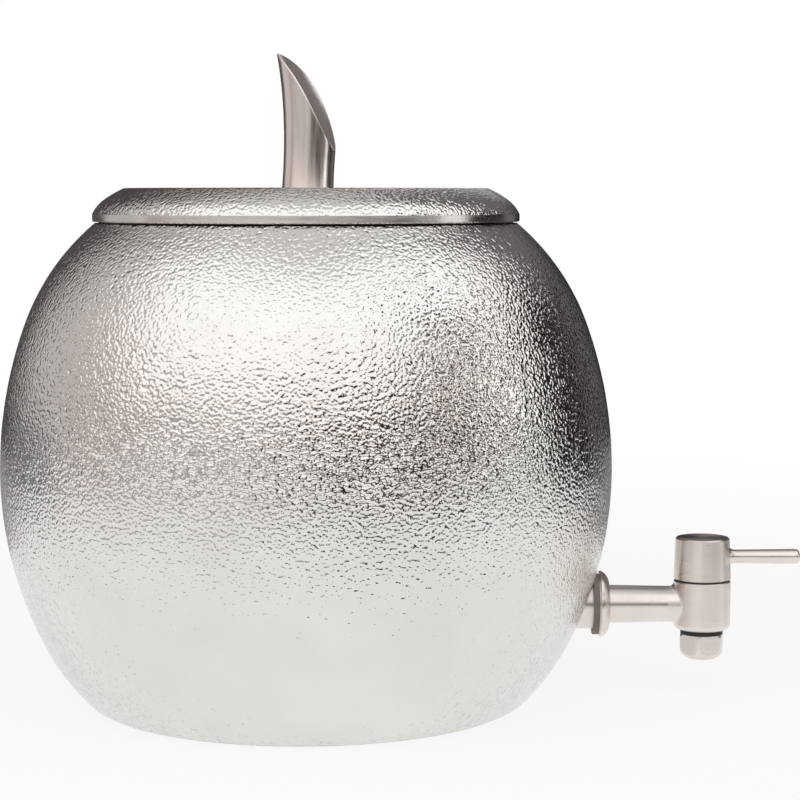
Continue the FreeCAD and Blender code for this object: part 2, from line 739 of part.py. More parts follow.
def outer_gasket():
    body = ring_part("outer_gasket", "gasket_radius", hole_round_tail, boss_face, flange_face,
                     "H_Axis", z="tap_height")
    # The soft ring gives way where the jar's sloping wall crowds it, so it is cut back by the wall.
    sketch = place_sketch(body, "wall_relief")
    reach = amount("low_belly_radius + gasket_relief")
    centre = flat(amount("jar_radius - low_belly_radius"), amount("belly_height - tap_height"))
    top = amount("gasket_radius + overshoot")

    def on_wall(y):
        return flat(centre.x + math.sqrt(reach ** 2 - (y - centre.y) ** 2), y)

    back = amount(boss_back)
    low, high = on_wall(-top), on_wall(top)
    curve, order = arc_about(centre, low, high, True)
    sketch.addGeometry(curve, False)
    for start, end in ((high, flat(back, top)), (flat(back, top), flat(back, -top)), (flat(back, -top), low)):
        sketch.addGeometry(Part.LineSegment(start, end), False)
    for first, end, second, start in ((0, 2, 1, 1), (1, 2, 2, 1), (2, 2, 3, 1), (3, 2, 0, 1)):
        sketch.addConstraint(Sketcher.Constraint("Coincident", first, end, second, start))
    pin_point(sketch, 0, 3, "jar_radius - low_belly_radius", "belly_height - tap_height", "centre")
    pin_point(sketch, 0, 2, None, "gasket_radius + overshoot", "top")
    pin_point(sketch, 0, 1, None, "0 - gasket_radius - overshoot", "low")
    pin_point(sketch, 2, 1, boss_back, "gasket_radius + overshoot", "back")
    pin_point(sketch, 2, 2, boss_back, "0 - gasket_radius - overshoot", "under")
    size_arc(sketch, 0, "low_belly_radius + gasket_relief", 0)
    groove = body.newObject("PartDesign::Groove", "outer_gasket_relief")
    groove.Profile = sketch
    groove.ReferenceAxis = (sketch, ["V_Axis"])
    groove.Angle = 360


tap_shank()
outer_gasket()
ring_part("inner_gasket", "inner_gasket_radius", hole_round_tail, boss_back + " - inner_gasket_thickness",
          boss_back, "H_Axis", z="tap_height")
ring_part("inner_washer", "inner_gasket_radius", hole_round_tail,
          boss_back + " - inner_gasket_thickness - washer_thickness",
          boss_back + " - inner_gasket_thickness", "H_Axis", z="tap_height")


def mill_flats(body, role, near, blank, turn=None, axis="Z_Axis"):
    """Six flats milled along a turned blank, each this near to its axis."""
    sketch = place_sketch(body, body.Name + "_flat", role, turn=turn)
    far = blank + " + overshoot"
    draw_outline(sketch, [(near, opposite(blank)), (far, opposite(blank)), (far, blank), (near, blank)])
    flat_cut = cut_pocket(body, sketch, "flat", both=True)
    repeat_round(body, flat_cut, 6, "hexagon", axis)


def shank_lock_nut():
    blank = "lock_nut_half_flats + lock_nut_corner"
    outer = blank + " - lock_nut_bevel"
    high = clamp_end + " + lock_nut_thickness"
    body = turned_part("shank_lock_nut", [
        (clamp_end, hole_round_tail), (clamp_end, outer), (clamp_end + " + lock_nut_bevel", blank),
        (high + " - lock_nut_bevel", blank), (high, outer), (high, hole_round_tail),
    ], axis="H_Axis", z="tap_height")
    mill_flats(body, "YZ_Plane", "lock_nut_half_flats", blank, axis="X_Axis")


shank_lock_nut()


# Valve body: a turned barrel with a side stub for the tube, a chamber for the cartridge and a threaded neck.
def valve_body():
    body = new_part("valve_body", valve_axis, "tap_height")
    barrel = place_sketch(body, "barrel_section")
    neck_end = "0 - valve_drop - neck_length"
    draw_outline(barrel, [
        ("0", neck_end), ("neck_radius", neck_end), ("neck_radius", "0 - valve_drop"),
        ("valve_radius - valve_edge", "0 - valve_drop"), ("valve_radius", "0 - valve_drop + valve_edge"),
        ("valve_radius", "valve_rise - seam_bevel"), ("valve_radius - seam_bevel", "valve_rise"),
        ("0", "valve_rise"),
    ], {3: ("valve_edge", True)})
    revolve(body, barrel)
    stub = place_sketch(body, "stub_section", "YZ_Plane")
    draw_circle(stub, "tube_end_radius")
    pad = body.newObject("PartDesign::Pad", "valve_stub")
    pad.Profile = stub
    pad.Reversed = True
    pad.setExpression("Length", bound("valve_radius + stub_length"))
    edges = edges_between(pad, values["tube_end_radius"], values["valve_radius"])
    dress(body, "Fillet", "braze", pad, edges, "braze_fillet")
    chamber = place_sketch(body, "chamber_section")
    floor = "0 - chamber_drop"
    draw_outline(chamber, [
        ("0", neck_end + " - overshoot"), ("water_bore", neck_end + " - overshoot"), ("water_bore", floor),
        ("chamber_radius", floor), ("chamber_radius", "gland_seat_rise"), ("gland_radius", "gland_seat_rise"),
        ("gland_radius", "valve_rise + overshoot"), ("0", "valve_rise + overshoot"),
    ])
    groove = body.newObject("PartDesign::Groove", "valve_chamber")
    groove.Profile = chamber
    groove.ReferenceAxis = (chamber, ["V_Axis"])
    groove.Angle = 360
    inlet = place_sketch(body, "inlet_bore", "YZ_Plane")
    draw_circle(inlet, "water_bore")
    cut_pocket(body, inlet, "inlet", "valve_radius + stub_length + overshoot")
    socket = place_sketch(body, "tube_socket", "YZ_Plane", height="joint_depth - valve_radius - stub_length")
    draw_circle(socket, "joint_radius")
    cut_pocket(body, socket, "socket", "joint_depth + overshoot")


seal_top = "0 - chamber_drop + seal_thickness"
fixed_top = seal_top + " + disc_thickness"
moving_low = fixed_top + " + disc_film"
moving_top = moving_low + " + disc_thickness"
port_offset = "disc_radius - port_land - port_radius"
cartridge_top = "valve_rise - gland_below_top"
thread_radius = "gland_radius - thread_clearance"


def cartridge_sleeve():
    outer = "chamber_radius - fit_clearance"
    guide = "spindle_radius + fit_clearance"
    pocket = "disc_radius + fit_clearance"
    flange_top = "gland_seat_rise + sleeve_flange"
    body = turned_part("cartridge_sleeve", [
        (pocket, seal_top), (outer, seal_top), (outer, "gland_seat_rise"), (thread_radius, "gland_seat_rise"),
        (thread_radius, flange_top), ("sleeve_neck", flange_top), ("sleeve_neck", cartridge_top),
        (guide, cartridge_top), (guide, "sleeve_roof_rise"), (pocket, "sleeve_roof_rise"),
    ], x=valve_axis, z="tap_height")
    window = place_sketch(body, "sleeve_window", "YZ_Plane")
    draw_circle(window, "window_radius", "0", "window_rise")
    cut_pocket(body, window, "window", both=True)


def ceramic_disc(label, radius, low, plane_shift):
    """Disc with two opposite ports; plane_shift is the ports' place as two sums."""
    body = turned_part(label, [("0", low), (radius, low), (radius, low + " + disc_thickness"),
                               ("0", low + " + disc_thickness")], x=valve_axis, z="tap_height")
    port = place_sketch(body, label + "_port", "XY_Plane")
    draw_circle(port, "port_radius", *plane_shift)
    port_cut = cut_pocket(body, port, "port", both=True)
    repeat_round(body, port_cut, 2, "ports")
    return body


def moving_ceramic_disc():
    body = ceramic_disc("moving_ceramic_disc", "disc_radius - fit_clearance", moving_low, ("0", port_offset))
    slot = place_sketch(body, "tongue_slot", "XY_Plane", height=moving_top + " - tongue_depth")
    wide = "tongue_half_width + fit_clearance"
    draw_outline(slot, [("0 - disc_radius", opposite(wide)), ("disc_radius", opposite(wide)),
                        ("disc_radius", wide), ("0 - disc_radius", wide)])
    cut_pocket(body, slot, "slot", "tongue_depth + overshoot", flip=True)


ring_rises = ("ring_rise", "ring_rise + ring_pitch")
groove_radius = "spindle_radius + ring_stand - ring_section - ring_section"


def valve_spindle():
    tongue_low = moving_top + " - tongue_depth + fit_clearance"
    tongue_top = tongue_low + " + tongue_height"
    collar_top = "sleeve_roof_rise - fit_clearance"
    square_low = "valve_rise + seam_height"
    corners = [
        ("0", tongue_top + " - fit_clearance"), ("spindle_stem", tongue_top + " - fit_clearance"),
        ("spindle_stem", collar_top + " - spindle_collar_height"),
        ("spindle_collar", collar_top + " - spindle_collar_height"), ("spindle_collar", collar_top),
        ("spindle_radius", collar_top),
    ]
    for rise in ring_rises:
        low, high = rise + " - ring_groove_half", rise + " + ring_groove_half"
        corners += [("spindle_radius", low), (groove_radius, low)]
        corners += [(groove_radius, high), ("spindle_radius", high)]
    corners += [("spindle_radius", square_low), ("0", square_low)]
    body = turned_part("valve_spindle", corners, x=valve_axis, z="tap_height")
    for name, low, length, wide, high in (
        ("tongue", tongue_low, "tongue_half_length", "tongue_half_width", "tongue_height"),
        ("square", square_low, "square_half_width", "square_half_width", "square_length"),
    ):
        sketch = place_sketch(body, name + "_section", "XY_Plane", height=low)
        draw_outline(sketch, [("0 - " + length, "0 - " + wide), (length, "0 - " + wide), (length, wide),
                              ("0 - " + length, wide)])
        pad = body.newObject("PartDesign::Pad", "spindle_" + name)
        pad.Profile = sketch
        pad.setExpression("Length", bound(high))


def spindle_orings():
    rings = []
    for number, rise in enumerate(ring_rises):
        ring = doc.addObject("Part::Torus", "oring%d" % number)
        ring.setExpression("Radius1", bound(groove_radius + " + ring_section"))
        ring.setExpression("Radius2", bound("ring_section"))
        ring.setExpression("Placement.Base.z", bound(rise))
        rings.append(ring)
    pair = doc.addObject("Part::Compound", "spindle_orings")
    pair.Links = rings
    pair.setExpression("Placement.Base.x", bound(valve_axis))
    pair.setExpression("Placement.Base.z", bound("tap_height"))
    parts.append(pair)


def gland_nut():
    low = "gland_seat_rise + sleeve_flange"
    body = ring_part("gland_nut", thread_radius, "sleeve_neck + thread_clearance", low, cartridge_top,
                     x=valve_axis, z="tap_height")
    slot = place_sketch(body, "spanner_slot", "XY_Plane", height=cartridge_top + " - gland_slot_depth")
    draw_outline(slot, [("0 - gland_radius", "0 - gland_slot"), ("gland_radius", "0 - gland_slot"),
                        ("gland_radius", "gland_slot"), ("0 - gland_radius", "gland_slot")])
    cut_pocket(body, slot, "slot", "gland_slot_depth + overshoot", flip=True)


valve_body()
ring_part("cartridge_seat_seal", "chamber_radius - fit_clearance", "seal_bore", "0 - chamber_drop", seal_top,
          x=valve_axis, z="tap_height")
ceramic_disc("fixed_ceramic_disc", "disc_radius", seal_top, (port_offset, "0"))
moving_ceramic_disc()
cartridge_sleeve()
valve_spindle()
spindle_orings()
gland_nut()
ring_part("seam_ring", "valve_radius - seam_inset", "gland_radius + fit_clearance", "valve_rise",
          "valve_rise + seam_height - seam_film", x=valve_axis, z="tap_height")


# Handle: hub on the spindle's square, held by a grub screw, with the lever rod brazed in its side.
hub_low = "valve_rise + seam_height"
hub_high = hub_low + " + hub_height"


def handle_hub():
    body = turned_part("handle_hub", [
        ("0", hub_low), ("valve_radius - seam_bevel", hub_low), ("valve_radius", hub_low + " + seam_bevel"),
        ("hub_top_radius", hub_high + " - hub_edge"),
        ("hub_top_radius - hub_edge", hub_high), ("0", hub_high),
    ], x=valve_axis, z="tap_height")
    socket = place_sketch(body, "square_socket", "XY_Plane", height=hub_low)
    high = "square_half_width + square_clearance"
    low = opposite(high)
    draw_outline(socket, [(low, low), (high, low), (high, high), (low, high)])
    cut_pocket(body, socket, "socket", "square_length + square_clearance", flip=True)
    grub = place_sketch(body, "grub_hole")
    draw_circle(grub, "grub_radius + fit_clearance", "0", "grub_rise")
    cut_pocket(body, grub, "grub_hole", "valve_radius + overshoot")
    seat = place_sketch(body, "lever_hole", "YZ_Plane", height="lever_spigot_start")
    draw_circle(seat, "lever_spigot_radius + fit_clearance", "0", "lever_rise")
    cut_pocket(body, seat, "lever_hole", "valve_radius", flip=True)


def hub_grub_screw():
    tip = "square_half_width"
    back = "square_half_width + grub_length"
    body = new_part("hub_grub_screw", valve_axis, "tap_height + grub_rise")
    section = place_sketch(body, "grub_section", "YZ_Plane")
    draw_outline(section, [(tip, "0"), (back, "0"), (back, "grub_radius"), (tip, "grub_radius")])
    revolve(body, section, "H_Axis")
    key = place_sketch(body, "grub_key", height=opposite(back) + " + grub_key_depth")
    draw_circle(key, "grub_key")
    cut_pocket(body, key, "key", "grub_key_depth + overshoot")


def lever_rod():
    root = "valve_radius - lever_flare_sink"
    body = turned_part("lever_rod", [
        (root, "0"), (root, "lever_flare"), (root + " + lever_flare_length", "lever_root_radius"),
        ("lever_reach", "lever_end_radius"), ("lever_reach", "0"),
    ], {1: ("lever_flare_arc", True)}, "H_Axis", valve_axis, "tap_height + lever_rise")
    # The rod's foot is hollowed to sit on the round hub.
    saddle = body.newObject("PartDesign::SubtractiveCone", "lever_saddle")
    saddle.setExpression("Radius1", "sizes.valve_radius")
    saddle.setExpression("Radius2", "sizes.hub_top_radius")
    saddle.setExpression("Height", bound("hub_height - hub_edge - seam_bevel"))
    saddle.setExpression("Placement.Base.z", bound(hub_low + " + seam_bevel - lever_rise"))
    spigot = place_sketch(body, "lever_spigot", "YZ_Plane", height="lever_spigot_start")
    draw_circle(spigot, "lever_spigot_radius")
    pad = body.newObject("PartDesign::Pad", "lever_spigot_pad")
    pad.Profile = spigot
    pad.setExpression("Length", bound("valve_radius - lever_spigot_start + lever_root_radius"))
    edges = edges_where(pad, lambda edge: isinstance(edge.Curve, Part.Circle)
                        and abs(edge.Curve.Center.x - values["lever_reach"]) < 0.01)
    dress(body, "Fillet", "end_round", pad, edges, "lever_round")


handle_hub()
hub_grub_screw()
lever_rod()


# Outlet: a sealing ring, a six-sided nut with a domed foot and the flow straightener inside it.
def outlet_nut():
    thread = "neck_radius + thread_clearance"
    blank = "nut_half_flats + nut_corner"
    body = turned_part("outlet_nut", [
        ("nut_mouth", "0"), ("nut_foot_radius", "0"), (blank, "nut_dome"),
        (blank, "nut_height - nut_top_bevel"), (blank + " - nut_top_bevel", "nut_height"),
        (thread, "nut_height"), (thread, "nut_ledge"), ("nut_mouth", "nut_ledge"),
    ], {1: ("nut_dome_arc", True)}, x=valve_axis, z=nut_foot)
    mill_flats(body, "XY_Plane", "nut_half_flats", blank, "nut_turn")


def flow_straightener():
    body = ring_part("flow_straightener", "neck_radius", "straightener_hole", "nut_ledge",
                     "nut_ledge + straightener_thickness", x=valve_axis, z=nut_foot)
    hole = place_sketch(body, "jet_hole", "XY_Plane")
    draw_circle(hole, "straightener_hole", "straightener_ring", "0")
    jet = cut_pocket(body, hole, "jet", both=True)
    repeat_round(body, jet, 6, "jets")


nut_foot = "tap_height - valve_drop - outlet_gasket_thickness - nut_height"
ring_part("outlet_gasket", "outlet_gasket_radius", "neck_radius + thread_clearance",
          "0 - valve_drop - outlet_gasket_thickness", "0 - valve_drop", x=valve_axis, z="tap_height")
outlet_nut()
flow_straightener()

doc.recompute()

faults = []
for item in doc.Objects:
    if "Invalid" in item.State or "Error" in item.State:
        faults.append("%s is %s" % (item.Name, item.State))
    elif item.TypeId in ("PartDesign::Pocket", "PartDesign::Groove"):
        before = item.BaseFeature.Shape.Volume
        if before - item.Shape.Volume < 0.01:
            faults.append("%s cuts nothing" % item.Name)
for item in parts:
    if item.Shape.isNull() or not item.Shape.isValid():
        faults.append("%s has no valid shape" % item.Label)
if faults:
    raise RuntimeError("; ".join(faults))

os.makedirs("parts", exist_ok=True)
for item in parts:
    item.Shape.exportStep("parts/%s.step" % item.Label)
    print("%-22s %2d solid %9.1f mm3" % (item.Label, len(item.Shape.Solids), item.Shape.Volume))
print("%d parts" % len(parts))
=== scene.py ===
import bpy
import bmesh
import json
import math
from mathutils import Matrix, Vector


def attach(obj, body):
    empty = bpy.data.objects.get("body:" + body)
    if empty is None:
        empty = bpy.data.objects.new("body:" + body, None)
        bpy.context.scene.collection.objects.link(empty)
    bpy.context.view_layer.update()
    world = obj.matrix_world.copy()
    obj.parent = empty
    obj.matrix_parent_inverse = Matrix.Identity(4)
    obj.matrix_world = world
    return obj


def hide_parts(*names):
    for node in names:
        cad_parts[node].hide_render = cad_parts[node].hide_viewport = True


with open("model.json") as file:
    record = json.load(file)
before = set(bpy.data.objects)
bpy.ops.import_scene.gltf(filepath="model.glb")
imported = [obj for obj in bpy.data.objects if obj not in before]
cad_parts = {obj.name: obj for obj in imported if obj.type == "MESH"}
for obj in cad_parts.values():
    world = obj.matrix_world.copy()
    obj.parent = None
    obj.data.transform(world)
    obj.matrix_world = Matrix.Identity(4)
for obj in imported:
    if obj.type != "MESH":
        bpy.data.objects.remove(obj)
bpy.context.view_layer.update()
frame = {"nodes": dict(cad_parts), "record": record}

# Metal water dispenser: a hammered jar with its lid, a horn finial and a quarter-turn tap.
# Metres, +Z up, the tap along +X, seen from -Y.
cadNodes = frame["nodes"]
scene = bpy.context.scene
mm = 0.001

cameraSetup = {
    "lens": 101.25,
    "sideways": 36.6 * mm,
    "distance": 885 * mm,
    "height": 199 * mm,
    "lookDown": 5.2,
}


def placeCamera():
    setup = cameraSetup
    optics = bpy.data.cameras.new("photoCamera")
    optics.lens = setup["lens"]
    optics.sensor_width = 36.0
    optics.clip_start = 0.05
    camera = bpy.data.objects.new("photoCamera", optics)
    camera.location = (setup["sideways"], -setup["distance"], setup["height"])
    camera.rotation_euler = (math.radians(90 - setup["lookDown"]), 0, 0)
    scene.collection.objects.link(camera)
    scene.camera = camera
    scene.view_settings.view_transform = "Standard"


placeCamera()
print("camera ready")


# Small helpers for node trees.
def addNode(tree, kind, **settings):
    node = tree.nodes.new(kind)
    for key, setting in settings.items():
        setattr(node, key, setting)
    return node


def wire(tree, source, target):
    tree.links.new(source, target)


def calc(tree, operation, *given):
    node = addNode(tree, "ShaderNodeMath", operation=operation)
    for socket, item in zip(node.inputs, given):
        if isinstance(item, (int, float)):
            socket.default_value = item
        else:
            wire(tree, item, socket)
    return node.outputs[0]


def newMaterial(title, metallic=0.0):
    material = bpy.data.materials.new(title)
    material.use_nodes = True
    tree = material.node_tree
    tree.nodes.clear()
    shader = addNode(tree, "ShaderNodeBsdfPrincipled")
    shader.inputs["Metallic"].default_value = metallic
    wire(tree, shader.outputs[0], addNode(tree, "ShaderNodeOutputMaterial").inputs["Surface"])
    return material, tree, shader


def patternSpace(tree, stretch=(1, 1, 1)):
    place = addNode(tree, "ShaderNodeTexCoord")
    mapping = addNode(tree, "ShaderNodeMapping")
    mapping.inputs["Scale"].default_value = stretch
    wire(tree, place.outputs["Object"], mapping.inputs["Vector"])
    return mapping.outputs["Vector"]


def noiseOf(tree, space, scale, detail=2.0, roughness=0.5, output="Fac"):
    noise = addNode(tree, "ShaderNodeTexNoise")
    noise.inputs["Scale"].default_value = scale
    noise.inputs["Detail"].default_value = detail
    noise.inputs["Roughness"].default_value = roughness
    wire(tree, space, noise.inputs["Vector"])
    return noise.outputs[output]


noiseRange = (0.3, 0.7)  # nearly all of a noise lies between these


def spread(tree, fac, low, high):
    ranged = addNode(tree, "ShaderNodeMapRange")
    ranged.inputs["From Min"].default_value = noiseRange[0]
    ranged.inputs["From Max"].default_value = noiseRange[1]
    ranged.inputs["To Min"].default_value = low
    ranged.inputs["To Max"].default_value = high
    wire(tree, fac, ranged.inputs["Value"])
    return ranged.outputs["Result"]


def blendColours(tree, fac, first, second):
    ramp = addNode(tree, "ShaderNodeValToRGB")
    for stop, position, colour in zip(ramp.color_ramp.elements, noiseRange, (first, second)):
        stop.position = position
        stop.color = (*colour, 1)
    wire(tree, fac, ramp.inputs["Fac"])
    return ramp.outputs["Color"]


paintedSeamShade = {"colour": (0.03, 0.026, 0.024), "high": 189.2 * mm}  # painted shade where the lid's band overhangs the jar


# Painted shade: darkens a colour from a height up to the lid, where the crevice under the lid's band lies in
# shade.
def paintShadeAbove(tree, colour, low):
    place = addNode(tree, "ShaderNodeSeparateXYZ")
    wire(tree, patternSpace(tree), place.inputs[0])
    inside = calc(tree, "MULTIPLY", calc(tree, "GREATER_THAN", place.outputs["Z"], low),
                  calc(tree, "LESS_THAN", place.outputs["Z"], paintedSeamShade["high"]))
    mixed = addNode(tree, "ShaderNodeMixRGB")
    wire(tree, inside, mixed.inputs["Fac"])
    wire(tree, colour, mixed.inputs["Color1"])
    mixed.inputs["Color2"].default_value = (*paintedSeamShade["colour"], 1)
    return mixed.outputs["Color"]


def engrave(tree, shader, height, distance):
    bump = addNode(tree, "ShaderNodeBump")
    bump.inputs["Distance"].default_value = distance
    wire(tree, height, bump.inputs["Height"])
    wire(tree, bump.outputs["Normal"], shader.inputs["Normal"])


# Hammered skin: small domed pebbles with narrow valleys between them, on satin silver-white metal.
hammeredLook = {
    "bright": (0.80, 0.782, 0.758),
    "dull": (0.75, 0.728, 0.702),
    "stainScale": 30,
    "roughness": (0.10, 0.16),
    "sheenScale": 90,
    "pebble": 1.14 * mm,
    "domeDepth": 0.5 * mm,
    "domePower": 2.0,
    "roundness": 1.0,
    "bend": 0.1 * mm,
    "bendsPerPebble": 0.7,
    "fineDepth": 0.012 * mm,
    "finePerPebble": 3,
    # from this height up to the lid the mouth is painted dark, as shade under the lid's band
    "paintedShadeFrom": 187.95 * mm,
}


def hammeredSilver():
    look = hammeredLook
    material, tree, shader = newMaterial("hammeredSilver", 1.0)
    space = patternSpace(tree)
    pebble = look["pebble"]
    skin = blendColours(tree, noiseOf(tree, space, look["stainScale"], 3), look["dull"], look["bright"])
    # a painted shade band round the jar's mouth, under the lid's band
    wire(tree, paintShadeAbove(tree, skin, look["paintedShadeFrom"]), shader.inputs["Base Color"])
    sheen = noiseOf(tree, space, look["sheenScale"], 3)
    wire(tree, spread(tree, sheen, *look["roughness"]), shader.inputs["Roughness"])
    # the pebbles' cells are bent by a noise, so that they differ in shape and run together in places
    shift = addNode(tree, "ShaderNodeVectorMath", operation="MULTIPLY_ADD")
    wire(tree, noiseOf(tree, space, look["bendsPerPebble"] / pebble, 1, output="Color"), shift.inputs[0])
    shift.inputs[1].default_value = (2 * look["bend"],) * 3
    wire(tree, space, shift.inputs[2])
    cells = addNode(tree, "ShaderNodeTexVoronoi", feature="SMOOTH_F1")
    cells.inputs["Scale"].default_value = 1 / pebble
    cells.inputs["Smoothness"].default_value = look["roundness"]
    wire(tree, shift.outputs[0], cells.inputs["Vector"])
    fall = calc(tree, "POWER", cells.outputs["Distance"], look["domePower"])
    domes = calc(tree, "MULTIPLY", fall, -look["domeDepth"])
    fine = calc(tree, "MULTIPLY", noiseOf(tree, space, look["finePerPebble"] / pebble, 2), look["fineDepth"])
    # the wall's inner side stays smooth
    outside = addNode(tree, "ShaderNodeAttribute", attribute_name="outerSide")
    relief = calc(tree, "MULTIPLY", calc(tree, "ADD", domes, fine), outside.outputs["Fac"])
    engrave(tree, shader, relief, 1.0)
    return material


satinLook = {
    "lineScale": 900,
    "lineDepth": 0.0022 * mm,
    "stainScale": 60,
    "turnedGloss": 0.6,
    "quarterTurn": 0.25,  # the tool lines run round, so the gloss runs along
}


# Satin metal with fine tool lines. The stretch is small along the lines and 1 across them.
def satinMetal(title, bright, dull, roughness, stretch, turnedAbout=None, lineDepth=satinLook["lineDepth"],
               paintedShadeFrom=None):
    look = satinLook
    material, tree, shader = newMaterial(title, 1.0)
    lines = noiseOf(tree, patternSpace(tree, stretch), look["lineScale"], 3, 0.6)
    metal = blendColours(tree, noiseOf(tree, patternSpace(tree), look["stainScale"], 3), dull, bright)
    # a painted shade band from that height up to the lid's band
    if paintedShadeFrom:
        metal = paintShadeAbove(tree, metal, paintedShadeFrom)
    wire(tree, metal, shader.inputs["Base Color"])
    wire(tree, spread(tree, lines, *roughness), shader.inputs["Roughness"])
    engrave(tree, shader, lines, lineDepth)
    if turnedAbout:
        shader.inputs["Anisotropic"].default_value = look["turnedGloss"]
        shader.inputs["Anisotropic Rotation"].default_value = look["quarterTurn"]
        toolWay = addNode(tree, "ShaderNodeTangent", direction_type="RADIAL", axis=turnedAbout)
        wire(tree, toolWay.outputs[0], shader.inputs["Tangent"])
    return material


def matteFinish(title, pale, dark, roughness, grainScale=700.0, depth=0.02 * mm, stainScale=120):
    material, tree, shader = newMaterial(title)
    space = patternSpace(tree)
    grain = noiseOf(tree, space, grainScale, 3)
    colour = blendColours(tree, noiseOf(tree, space, stainScale, 4), dark, pale)
    wire(tree, colour, shader.inputs["Base Color"])
    wire(tree, spread(tree, grain, *roughness), shader.inputs["Roughness"])
    engrave(tree, shader, grain, depth)
    return material


# Stretch of the tool lines: drawn along Z, or turned about X or Z.
alongZ = (1, 1, 0.03)
aboutX = (1, 0.05, 0.05)
aboutZ = (0.05, 0.05, 1)
warmBright, warmDull = (0.84, 0.775, 0.73), (0.785, 0.72, 0.675)

finishes = {
    "hammered_metal": hammeredSilver(),
    # spunMetal is painted dark, as shade, in a narrow band at the height where the lid sits on the jar
    "plain_metal": satinMetal("spunMetal", (0.76, 0.74, 0.71), (0.66, 0.64, 0.61), (0.28, 0.42), aboutZ,
                              paintedShadeFrom=187.9 * mm),
    "lip_metal": satinMetal("lipMetal", (0.80, 0.765, 0.74), (0.73, 0.70, 0.675), (0.2, 0.32), aboutZ, "Z"),
    "satin_nickel": satinMetal("turnedAboutX", warmBright, warmDull, (0.3, 0.38), aboutX, "X", 0.001 * mm),
    "polished_nickel": satinMetal("hornNickel", (0.92, 0.85, 0.81), (0.87, 0.80, 0.76), (0.18, 0.26), alongZ),
    "fastener_steel": satinMetal("turnedSteel", (0.66, 0.66, 0.66), (0.52, 0.52, 0.53), (0.26, 0.42), aboutZ),
    "brass": satinMetal("machinedBrass", (0.82, 0.64, 0.36), (0.70, 0.52, 0.27), (0.22, 0.36), aboutZ),
    "ceramic": matteFinish("lappedCeramic", (0.93, 0.92, 0.89), (0.88, 0.87, 0.84), (0.12, 0.22), 900,
                           0.002 * mm),
    "grey_silicone": matteFinish("greySilicone", (0.24, 0.205, 0.185), (0.18, 0.15, 0.135), (0.5, 0.7)),
    "black_rubber": matteFinish("blackRubber", (0.014, 0.014, 0.015), (0.008, 0.008, 0.009), (0.45, 0.6)),
    "white_plastic": matteFinish("mouldedPlastic", (0.86, 0.86, 0.84), (0.82, 0.82, 0.80), (0.35, 0.5)),
}
# Pieces of the tap that were turned about Z, unlike the rest of their slot.
uprightNickel = satinMetal("turnedAboutZ", warmBright, warmDull, (0.26, 0.36), aboutZ, "Z", 0.0012 * mm)
uprightPieces = ("valve_body", "handle_hub", "outlet_nut")
print("finishes ready")


sharpAngle = math.radians(32)  # an edge that turns further than this stays sharp
weldReach, sliverReach = 0.002 * mm, 0.0005 * mm


# Each CAD piece is dressed as a copy: its triangles joined, smooth between its sharp edges.
def smoothCopy(node, material):
    mesh = cadNodes[node].data.copy()
    shape = bmesh.new()
    shape.from_mesh(mesh)
    bmesh.ops.remove_doubles(shape, verts=shape.verts, dist=weldReach)
    bmesh.ops.dissolve_degenerate(shape, edges=shape.edges, dist=sliverReach)
    for edge in shape.edges:
        edge.smooth = len(edge.link_faces) == 2 and edge.calc_face_angle(0) < sharpAngle
    for face in shape.faces:
        face.smooth = True
        face.material_index = 0
    shape.to_mesh(mesh)
    shape.free()
    mesh.materials.clear()
    mesh.materials.append(material)
    if "custom_normal" in mesh.attributes:
        mesh.attributes.remove(mesh.attributes["custom_normal"])
    piece = bpy.data.objects.new(node + ".dressed", mesh)
    scene.collection.objects.link(piece)
    return piece


slotOf = {row["node"]: row["material_slot"] for row in frame["record"]["subparts"]}
bodyOf = {node: body for body, members in frame["record"]["behaviour"]["bodies"].items() for node in members}
hammeredNodes = ("jar_lower_shell", "jar_upper_shell", "lid_shell")
for node in sorted(set(cadNodes) - set(hammeredNodes)):
    piece = smoothCopy(node, uprightNickel if node in uprightPieces else finishes[slotOf[node]])
    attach(piece, bodyOf[node])
    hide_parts(node)
print("plain pieces ready")


# Centres and radii of two touching arcs from start to end, given the wall's lean at both and between.
def arcPair(start, end, slopes):
    first, middle, last = [Vector((math.cos(a), math.sin(a))) for a in map(math.radians, slopes)]
    step, near, far = end - start, middle - first, last - middle
    across = near.x * far.y - near.y * far.x
    nearRadius = (step.x * far.y - step.y * far.x) / across
    farRadius = (near.x * step.y - near.y * step.x) / across
    return (start - first * nearRadius, nearRadius), (end - last * farRadius, farRadius)


# Points along that pair of arcs as (radius, height), inset for the inner side of the wall.
def wallPoints(start, end, slopes, pitch, inset=0.0):
    points = []
    for (centre, radius), low, high in zip(arcPair(start, end, slopes), slopes, slopes[1:]):
        count = max(4, round(radius * math.radians(high - low) / pitch))
        for step in range(1 if points else 0, count + 1):
            lean = math.radians(low + (high - low) * step / count)
            points.append((centre.x + (radius - inset) * math.cos(lean),
                           centre.y + (radius - inset) * math.sin(lean)))
    return points


pathRadius = 60 * mm  # the circle that a section is carried round


# A closed section as an edge loop: the outer side, which takes the hammering, and the rest of it.
def sectionLoop(title, outer, rest):
    mesh = bpy.data.meshes.new(title)
    corners = outer + rest
    count = len(corners)
    edges = [(i, (i + 1) % count) for i in range(count)]
    mesh.from_pydata([(r - pathRadius, -z, 0) for r, z in corners], edges, [])
    side = mesh.attributes.new("outerSide", "FLOAT", "POINT")
    side.data.foreach_set("value", [1.0] * len(outer) + [0.0] * len(rest))
    piece = bpy.data.objects.new(title, mesh)
    scene.collection.objects.link(piece)
    return piece


hollows = {
    "Hollow Depth": 0.10 * mm,
    "Hollow Pitch": 9 * mm,
    "Seed": 3.0,
    "Seam Height": 91.8 * mm,
    "Seam Fade": 5 * mm,
}


